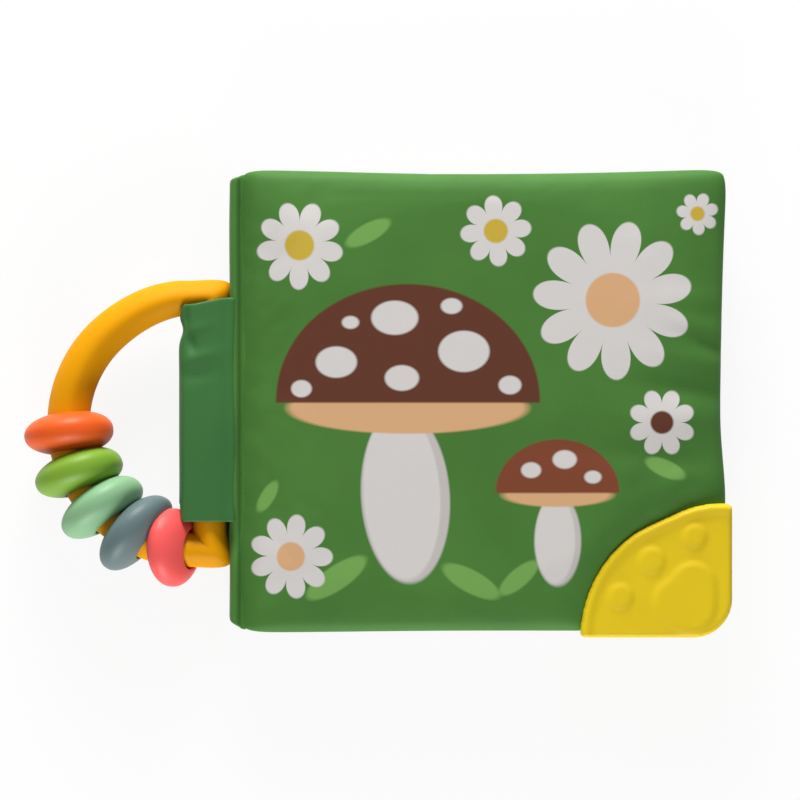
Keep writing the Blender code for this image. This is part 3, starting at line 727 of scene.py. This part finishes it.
def spine_wave(share, place):
    """The roll and the fold wander a little, and the roll is pressed down where the tab ends."""
    drift = noise.noise(Vector((place.y * DRIFT_ALONG, share * DRIFT_ROUND, 0.5)))
    top = min(1.0, max(0.0, (share - FOLD_SHARE) / FOLD_SHARE_EASE))
    roll = softly((place.z - ROLL_START) / ROLL_EASE) * softly((ROLL_SIDE - place.x) / ROLL_SIDE_EASE)
    pressed_down = PRESS_DEPTH * roll * math.exp(-((place.y - PRESS_Y) / PRESS_WIDTH) ** 2)
    aside = SIDE_DRIFT * drift + PRESS_SIDEWAYS * pressed_down
    return Vector((aside, 0, FOLD_DRIFT * drift * top - pressed_down))


shape = strip_shape(SPINE_PATH, spine_ends, 48, 70, spine_wave)
bmesh.ops.reverse_faces(shape, faces=shape.faces)
spine = finished("spine_cloth", shape, [green_satin], levels=1, wall=0.0007)
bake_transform(spine)
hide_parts("spine_panel")

LINING_PATH = [(-0.0685, 0.0044), (-0.0685, 0.0166)]
LINING_END = HALF_HEIGHT - 0.0035
shape = strip_shape(LINING_PATH, lambda s: (-LINING_END, LINING_END), 6, 60)
lining = finished("spine_lining", shape, [cream_cotton], wall=0.0004)
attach(lining, "book")
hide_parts("spine_lining_strip")
print("lining:", round(path_length(LINING_PATH) * 1000, 1), "mm tall")

# %% [markdown]
# ## Tab
# The tab is one strip of deeper green satin, sewn to the spine at both ends, with the ring's bar lying in its
# fold. Its upper layer runs on over the ring's arm, so its ends are cut to go round that tube, and its lower
# corner stops short of the last bead. It gathers where the arm comes out.

# %% Tab cloth
BAR = Vector((-0.0765, 0, 0.0125))
RING_CENTRE = Vector((-0.0816, -0.0065, 0.0125))
RING_RADIUS, BAR_RADIUS, ARC_TUBE_RADIUS = 0.0350, 0.0048, 0.0061
TAB_PATH = [
    (-0.0685, 0.0188), (-0.0688, 0.0196), (-0.0694, 0.0201), (-0.0704, 0.0203), (-0.0718, 0.0199),
    (-0.0736, 0.0193), (-0.0765, 0.0191), (-0.0795, 0.0190), (-0.0820, 0.0188), (-0.0838, 0.0184),
    (-0.0847, 0.0173), (-0.0851, 0.0152), (-0.0852, 0.0125), (-0.0848, 0.0098), (-0.0834, 0.0074),
    (-0.0810, 0.0061), (-0.0775, 0.0057), (-0.0740, 0.0060), (-0.0718, 0.0059), (-0.0707, 0.0050),
    (-0.0704, 0.0036), (-0.0704, 0.0016),
]
TAB_HIGH, TAB_RISE, TAB_LOW, TAB_BEAD_END, FLANGE_END = 0.0275, 0.0020, -0.0344, -0.0295, -0.0410
TUBE_CLEARANCE = 0.0011
TAB_LEFT_SIDE, TAB_RIGHT_SIDE, TAB_BEAD_SIDE, TAB_BEAD_LEVEL = -0.0840, -0.0700, -0.0795, 0.0178
FLANGE_SIDE, FLANGE_EASE, CUT_EASE = -0.0738, 0.0012, 0.0020
TUCK_DEPTH, TUCK_Y, TUCK_WIDTH, TUCK_SIDE, TUCK_EASE = 0.0013, 0.0203, 0.0028, -0.0815, 0.0030
FINE_LIFT, SLOW_LIFT, FINE_ASIDE, SLOW_ASIDE, UNDER_SHARE = 0.0003, 0.0006, 0.0002, 0.0004, 0.3
TAB_FOLDS = (
    (-0.0828, 0.0235, 1.45, 0.0028, 0.0009, -0.0013), (-0.0815, 0.0168, 1.90, 0.0030, 0.0015, -0.0010),
    (-0.0800, 0.0205, 0.30, 0.0045, 0.0011, 0.0004), (-0.0790, 0.0125, 0.25, 0.0060, 0.0016, 0.0006),
    (-0.0800, 0.0075, 0.10, 0.0060, 0.0022, -0.0006), (-0.0750, -0.0080, 1.45, 0.0160, 0.0018, 0.0004),
)


def tab_ends(share):
    """The strip's ends: round the ring's arm at the top, and short of the last bead below."""
    place = along_points(TAB_PATH, share)
    reach = BAR_RADIUS + TUBE_CLEARANCE
    room = reach ** 2 - (place.y - BAR.z) ** 2
    high = TAB_HIGH + TAB_RISE * softly((place.x - TAB_LEFT_SIDE) / (TAB_RIGHT_SIDE - TAB_LEFT_SIDE))
    if room > 0:
        high = min(high, RING_CENTRE.y + RING_RADIUS - math.sqrt(room))
    by_bead = softly((TAB_BEAD_SIDE - place.x) / CUT_EASE) * softly((TAB_BEAD_LEVEL - place.y) / CUT_EASE)
    flange = softly((place.x - FLANGE_SIDE) / FLANGE_EASE) if place.y < BAR.z else 0.0
    return TAB_LOW + (TAB_BEAD_END - TAB_LOW) * by_bead + (FLANGE_END - TAB_LOW) * flange, high


def tab_wave(share, place):
    """Soft gathers: puckers under the upper corner, folds that slant from them and a wavy left edge."""
    fine = noise.noise(Vector((share * 9, place.y * 45, 2.0)))
    slow = noise.noise(Vector((place.x * 90, place.y * 30, 5.0)))
    lift = FINE_LIFT * fine + SLOW_LIFT * slow + fold_lift(place, TAB_FOLDS)
    tuck = TUCK_DEPTH * math.exp(-((place.y - TUCK_Y) / TUCK_WIDTH) ** 2) + SLOW_ASIDE * slow
    tuck *= softly((TUCK_SIDE - place.x) / TUCK_EASE)
    return Vector((tuck + FINE_ASIDE * fine, 0, lift if place.z > BAR.z else -UNDER_SHARE * lift))


shape = strip_shape(TAB_PATH, tab_ends, 64, 56, tab_wave)
bmesh.ops.reverse_faces(shape, faces=shape.faces)
tab = finished("ring_tab_cloth", shape, [tab_satin], levels=1, wall=0.0009)
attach(tab, "book")
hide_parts("ring_tab")
print("tab:", round(path_length(TAB_PATH) * 1000, 1), "mm round the bar")

# %% [markdown]
# ## Thread
# A row of stitches closes the fold beside the spine, and another holds the tab. The thread is spun polyester
# with more sheen than the cloth, so it catches the light. Each stitch is a small rounded capsule 2.2 mm long
# that dips into the cloth at both ends.

# %% Stitches
STITCH_STEP, STITCH_HALF, THREAD_RADIUS = 0.0031, 0.0011, 0.00022
FOLD_STITCHES, TAB_STITCHES = 40, 19


def stitch_row(name, start, count, look):
    """A row of stitches along Y, in one mesh."""
    shape = bmesh.new()
    stretch = Matrix.Diagonal((STITCH_HALF, THREAD_RADIUS, THREAD_RADIUS, 1))
    for i in range(count):
        place = Matrix.Translation(Vector(start) + Vector((0, STITCH_STEP * i, 0)))
        matrix = place @ Matrix.Rotation(math.pi / 2, 4, "Z") @ stretch
        bmesh.ops.create_uvsphere(shape, u_segments=6, v_segments=4, radius=1, matrix=matrix)
    map_cloth(shape)
    return finished(name, shape, [look])


thread = plain_cloth("polyester_thread_green", "3C6B33", "325C2C", 0.6, 0.2, 0.00002)
fold_thread = stitch_row("fold_thread", (-0.0676, -0.0605, 0.0166), FOLD_STITCHES, thread)
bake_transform(fold_thread)
tab_thread = stitch_row("tab_thread", (-0.0708, -0.0330, 0.0030), TAB_STITCHES, thread)
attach(tab_thread, "book")
print("stitches:", FOLD_STITCHES + TAB_STITCHES)

# %% [markdown]
# ## Handle ring
# The ring is a moulded D. A circle is extruded from place to place along its middle line, and each new ring
# of edges is turned and widened for its bend, as a mitre is. The straight bar lies in the tab, and the arc
# grows a little thicker towards its middle.

# %% Tube along a route
RING_SIDES = 16
CREST = 1.45


def tube_shape(route):
    """A closed tube along (place, radius) points in one level plane. A CREST of 2 is round, and less than 2
    gives flatter flanks that meet in a soft ridge. Subdivision draws a polygon's corners in, so they start
    that much further out."""
    shape = bmesh.new()
    across, up = math.cos(2 * math.pi / RING_SIDES), math.sin(2 * math.pi / RING_SIDES)
    drawn_in = (2 + across / (across ** CREST + up ** CREST) ** (1 / CREST)) / 3

    def section(i):
        here, radius = route[i]
        before = (here - route[i - 1][0]).normalized()
        after = (route[(i + 1) % len(route)][0] - here).normalized()
        ahead = (before + after).normalized()
        out = Vector((0, 0, 1)).cross(ahead)
        widened = 1 / max(0.5, before.dot(ahead))
        axes = Matrix((out * radius * widened, Vector((0, 0, radius)), ahead * radius)).transposed().to_4x4()
        return Matrix.Translation(here) @ axes

    verts = bmesh.ops.create_circle(shape, segments=RING_SIDES, radius=1)["verts"]
    for vert in verts:
        vert.co /= drawn_in * (abs(vert.co.x) ** CREST + abs(vert.co.y) ** CREST) ** (1 / CREST)
    bmesh.ops.transform(shape, matrix=section(0), verts=verts)
    loops = [list({e for v in verts for e in v.link_edges})]
    for i in range(1, len(route)):
        made = bmesh.ops.extrude_edge_only(shape, edges=loops[-1])["geom"]
        verts = [g for g in made if isinstance(g, bmesh.types.BMVert)]
        bmesh.ops.transform(shape, matrix=section(i) @ section(i - 1).inverted(), verts=verts)
        ends = set(verts)
        loops.append([
            g for g in made if isinstance(g, bmesh.types.BMEdge) and all(v in ends for v in g.verts)
        ])
    bmesh.ops.bridge_loops(shape, edges=loops[0] + loops[-1])
    bmesh.ops.recalc_face_normals(shape, faces=shape.faces)
    return shape


# %% Handle ring
ARM_RISE, ARM_DROP, ARM_OVER = 0.0014, 0.0014, 0.0015
ARM_RUN, ARM_SHARE, ARC_STEPS = math.radians(40), 0.75, 40
BAR_HALF, ELBOW_FAR, ELBOW_NEAR = 0.0150, 0.0060, 0.0020
SHOULDER_SHARE, SHOULDER_RISE, ARC_GROWTH = 0.6, 0.1, 0.6


def ring_route():
    """The D's middle line from the foot of the bar, anticlockwise. Its arms end in blunt corners."""
    right = BAR.x - RING_CENTRE.x
    end, lower = RING_RADIUS + ARM_RISE, -RING_RADIUS - ARM_DROP
    places = [
        (right + ARM_OVER, lower), (right + ARM_OVER / 2, lower + ELBOW_NEAR), (right, lower + ELBOW_FAR),
        (right, -BAR_HALF), (right, BAR_HALF), (right, end - ELBOW_FAR),
        (right + ARM_OVER / 2, end - ELBOW_NEAR), (right + ARM_OVER, end),
        (SHOULDER_SHARE * right, end - SHOULDER_RISE * ARM_RISE),
    ]
    route = [(Vector((x, y, 0)), BAR_RADIUS) for x, y in places]
    for i in range(ARC_STEPS + 1):
        turned = math.pi * i / ARC_STEPS
        drift = ARM_RISE * softly(1 - turned / ARM_RUN) + ARM_DROP * softly(1 - (math.pi - turned) / ARM_RUN)
        reach = RING_RADIUS + ARM_SHARE * drift
        radius = BAR_RADIUS + (ARC_TUBE_RADIUS - BAR_RADIUS) * math.sin(turned) ** ARC_GROWTH
        a = turned + math.pi / 2
        route.append((Vector((reach * math.cos(a), reach * math.sin(a), 0)), radius))
    route.append((Vector((SHOULDER_SHARE * right, lower + SHOULDER_RISE * ARM_DROP, 0)), BAR_RADIUS))
    return [(RING_CENTRE + place, radius) for place, radius in route]


ring = finished("handle_ring_moulding", tube_shape(ring_route()), [ring_plastic], levels=2)
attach(ring, "handle_ring")
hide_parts("handle_ring")
print("ring:", len(ring.data.polygons), "faces")

# %% [markdown]
# ## Beads
# Each bead is a flattened ball with a wide bore. Its half section is a closed loop of edges, spun once round
# the bead's own axis, and the bead is then carried to its place on the arc.

# %% Beads
BEAD_HALF, BEAD_BLUNT, BORE_ROUND = 0.0061, 2.2, 0.0004
SIDE_STEPS, BORE_STEPS, SPIN_STEPS = 24, 6, 56
BEADS = {
    "orange": (184.4, 0, 0.02, 0.10, 0.0128, 0.0063), "lime": (203.6, 0, -0.08, 0.13, 0.0128, 0.0063),
    "mint": (223.1, 0, -0.13, 0.16, 0.0128, 0.0065), "blue_grey": (242.9, 0, -0.20, 0.20, 0.0128, 0.0064),
    "coral": (262.2, 0.0007, 0.06, 0.38, 0.0112, 0.0059),
}


def bead_shape(angle, out, turn, lean, reach, bore):
    """A bead on the ring's arc at an angle in degrees, out from its middle line. It hangs askew: turn slants
    it in the picture's plane and lean shows a face, while its bore stays along the tube and bends with it.
    reach and bore are radii."""
    shape = bmesh.new()
    start = math.acos(((bore + BORE_ROUND) / reach) ** (BEAD_BLUNT / 2))
    points = []
    for i in range(SIDE_STEPS + 1):
        a = start - 2 * start * i / SIDE_STEPS
        across = reach * math.cos(a) ** (2 / BEAD_BLUNT)
        points.append((across, math.copysign(BEAD_HALF * abs(math.sin(a)) ** (2 / BEAD_BLUNT), a)))
    height = points[0][1]
    for i in range(1, BORE_STEPS + 1):
        a = math.pi / 2 * i / BORE_STEPS
        points.append((bore + BORE_ROUND * (1 - math.sin(a)), -height + BORE_ROUND * (1 - math.cos(a))))
    points += [(x, -z) for x, z in reversed(points[-BORE_STEPS:])]
    verts = [shape.verts.new((x, 0, z)) for x, z in points]
    edges = [shape.edges.new((a, b)) for a, b in zip(verts, verts[1:] + verts[:1])]
    bmesh.ops.spin(
        shape, geom=verts + edges, cent=(0, 0, 0), axis=(0, 0, 1), angle=2 * math.pi, steps=SPIN_STEPS,
        use_merge=True,
    )
    bmesh.ops.recalc_face_normals(shape, faces=shape.faces)
    for vert in shape.verts:
        vert.co.y *= min(1.0, RING_CENTRE.z / reach)
        vert.co.z += lean * vert.co.y - turn * vert.co.x
        vert.co.x -= vert.co.z ** 2 / (2 * RING_RADIUS)
    place = (
        Matrix.Translation(RING_CENTRE) @ Matrix.Rotation(math.radians(angle), 4, "Z")
        @ Matrix.Translation((RING_RADIUS + out, 0, 0)) @ Matrix.Rotation(math.pi / 2, 4, "X")
    )
    bmesh.ops.transform(shape, matrix=place, verts=shape.verts)
    return shape


for name, stand in BEADS.items():
    bead = finished(f"{name}_bead_turned", bead_shape(*stand), [bead_plastics[name]])
    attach(bead, f"{name}_bead")
    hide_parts(f"{name}_bead")
print("beads at", [stand[0] for stand in BEADS.values()], "degrees")

# %% [markdown]
# ## Teether
# The teether is moulded in one piece. A fine grid is cut to its outline, its rim is moved onto that outline,
# and its height comes from a few soft rules: a rounded edge, a bead along the arc, and the pads of a paw.

# %% Teether outline and height
TEETHER_RIGHT, TEETHER_FOOT, TEETHER_CORNER, TEETHER_BLEND = 0.0726, -0.0673, 0.0112, 0.0007
TEETHER_BASE, TEETHER_TOP, TEETHER_EDGE = 0.0163, 0.0219, 0.0013
RIM_IN, RIM_WIDTH, RIM_RISE = 0.0016, 0.0016, 0.0008
PAD_RISE, PAD_SIDE = 0.0007, 0.0024
TOES = ((0.0618, -0.0384, 0.0044), (0.0495, -0.0453, 0.0048), (0.0407, -0.0555, 0.0046))
PALM = ((0.0600, -0.0580, 0.0088), (0.0614, -0.0520, 0.0072), (0.0552, -0.0566, 0.0062))
PALM_BLEND = 0.0012
GRID_CELL, SLOPE_STEP, OUTLINE_PASSES = 0.00065, 0.0001, 3


def inside_arc(x, y):
    """How far a place is inside the teether's arc."""
    off = Vector((x, y, 0)) - TEETHER_CENTRE
    return arc_radius(off) - off.length


def inside(x, y):
    """How far a place is inside the teether's outline."""
    arc = inside_arc(x, y)
    sides = [arc, TEETHER_RIGHT - x, y - TEETHER_FOOT]
    corner_x, corner_y = x - (TEETHER_RIGHT - TEETHER_CORNER), (TEETHER_FOOT + TEETHER_CORNER) - y
    if corner_x > 0 and corner_y > 0:
        sides = [arc, TEETHER_CORNER - math.hypot(corner_x, corner_y)]
    return -TEETHER_BLEND * math.log(sum(math.exp(-side / TEETHER_BLEND) for side in sides))


def moulded_height(x, y):
    """The teether's upper side at a place."""
    depth = max(0.0, inside(x, y))
    height = TEETHER_TOP + RIM_RISE * math.exp(-((inside_arc(x, y) - RIM_IN) / RIM_WIDTH) ** 2)
    toe = max(r - math.hypot(x - a, y - b) for a, b, r in TOES)
    palm = PALM_BLEND * math.log(sum(
        math.exp((r - math.hypot(x - a, y - b)) / PALM_BLEND) for a, b, r in PALM
    ))
    height += PAD_RISE * softly(max(toe, palm) / PAD_SIDE)
    if depth < TEETHER_EDGE:
        height -= TEETHER_EDGE - math.sqrt(TEETHER_EDGE ** 2 - (TEETHER_EDGE - depth) ** 2)
    return height


print("teether over its palm:", round(moulded_height(*PALM[0][:2]) * 1000, 1), "mm above the table")

# %% Teether
def onto_outline(place):
    """A place of the rim, moved straight onto the outline."""
    for _ in range(OUTLINE_PASSES):
        depth = inside(place.x, place.y)
        right = inside(place.x + SLOPE_STEP, place.y) - depth
        up = inside(place.x, place.y + SLOPE_STEP) - depth
        slope = Vector((right, up, 0))
        if slope.length > 0:
            place = place - slope.normalized() * depth
    return place


def teether_shape():
    """The moulding: a cut grid, pulled down into a second layer, with its height on both."""
    shape = bmesh.new()
    left, head = TEETHER_CENTRE.x - TEETHER_RADIUS, TEETHER_CENTRE.y + TEETHER_RADIUS
    wide, high = TEETHER_RIGHT - left, head - TEETHER_FOOT
    bmesh.ops.create_grid(
        shape, x_segments=round(wide / GRID_CELL), y_segments=round(high / GRID_CELL), size=0.5
    )
    for vert in shape.verts:
        vert.co.x = left + wide * (vert.co.x + 0.5)
        vert.co.y = TEETHER_FOOT + high * (vert.co.y + 0.5)
    outside = [f for f in shape.faces if inside(*f.calc_center_median().xy) < 0]
    bmesh.ops.delete(shape, geom=outside, context="FACES")
    for vert in shape.verts:
        if vert.is_boundary:
            vert.co = onto_outline(vert.co)
    made = bmesh.ops.extrude_face_region(shape, geom=shape.faces[:])
    lower = {g for g in made["geom"] if isinstance(g, bmesh.types.BMVert)}
    for vert in shape.verts:
        depth = max(0.0, inside(*vert.co.xy))
        if vert in lower:
            short = max(0.0, TEETHER_EDGE - depth)
            vert.co.z = TEETHER_BASE + TEETHER_EDGE - math.sqrt(TEETHER_EDGE ** 2 - short ** 2)
        else:
            vert.co.z = moulded_height(*vert.co.xy)
    bmesh.ops.recalc_face_normals(shape, faces=shape.faces)
    return shape


teether = finished("corner_teether_moulding", teether_shape(), [silicone], levels=1)
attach(teether, "front_cover")
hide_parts("corner_teether")
print("teether:", len(teether.data.polygons), "faces")

# %% [markdown]
# ## Table and light
# The table is matt white paper and its backdrop white. Mixing in light for camera, glossy and transmission
# rays brings it to the photograph's white and still keeps the shadow under the book. Far from the book the
# table fades into the backdrop. A strong soft lamp stands beyond the head of the page and a weaker one beyond
# its foot, and the world fills the rest. It is white for the camera alone, since nothing here is metal or
# glass.

# %% Table
table, tree, shader = start_material("white_paper_sweep", {"Roughness": 0.9, "Base Color": linear("F8F8F6")})
rays = add_node(tree, "LightPath")
seen = rays.outputs["Is Camera Ray"]
for other in ("Is Glossy Ray", "Is Transmission Ray"):
    both = add_node(tree, "Math", {0: seen, 1: rays.outputs[other]}, operation="ADD")
    seen = both.outputs[0]
spot = add_node(tree, "TexCoord")
away = add_node(tree, "VectorMath", {0: spot.outputs["Object"]}, operation="LENGTH")
whiter = add_node(
    tree, "MapRange",
    {"Value": away.outputs["Value"], "From Min": 0.25, "From Max": 0.60, "To Min": 0.89},
)
share = add_node(tree, "Math", {0: seen, 1: whiter.outputs["Result"]}, operation="MULTIPLY")
glow = add_node(tree, "Emission", {"Color": (1, 1, 1, 1), "Strength": 1.0})
paper = add_node(tree, "MixShader", {0: share.outputs[0], 1: shader.outputs[0], 2: glow.outputs[0]})
tree.links.new(paper.outputs[0], tree.nodes["Material Output"].inputs["Surface"])
shape = bmesh.new()
bmesh.ops.create_grid(shape, x_segments=1, y_segments=1, size=2.0)
floor = finished("table", shape, [table])
print("table:", table.name)

# %% Light
WORLD_STRENGTH, LIT_MIDDLE = 0.32, Vector((-0.02, 0, 0.01))
world = bpy.data.worlds.new("studio")
scene.world = world
world.use_nodes = True
tree = world.node_tree
rays = add_node(tree, "LightPath")
lit = tree.nodes["Background"]
lit.inputs["Color"].default_value = (1, 1, 1, 1)
lit.inputs["Strength"].default_value = WORLD_STRENGTH
white = add_node(tree, "Background", {"Color": (1, 1, 1, 1), "Strength": 1.0})
mixed = add_node(
    tree, "MixShader", {0: rays.outputs["Is Camera Ray"], 1: lit.outputs[0], 2: white.outputs[0]}
)
tree.links.new(mixed.outputs[0], tree.nodes["World Output"].inputs["Surface"])


def soft_lamp(name, place, size, power):
    """A square lamp that faces the middle of the book."""
    data = bpy.data.lights.new(name, "AREA")
    data.shape = "SQUARE"
    data.size = size
    data.energy = power
    lamp = bpy.data.objects.new(name, data)
    lamp.location = place
    aim = LIT_MIDDLE - Vector(place)
    lamp.rotation_euler = aim.to_track_quat("-Z", "Y").to_euler()
    scene.collection.objects.link(lamp)


soft_lamp("head_lamp", (-0.10, 0.90, 0.34), 0.40, 13.5)
soft_lamp("foot_lamp", (-0.05, -0.80, 0.24), 0.40, 5.8)
print("world strength", WORLD_STRENGTH)
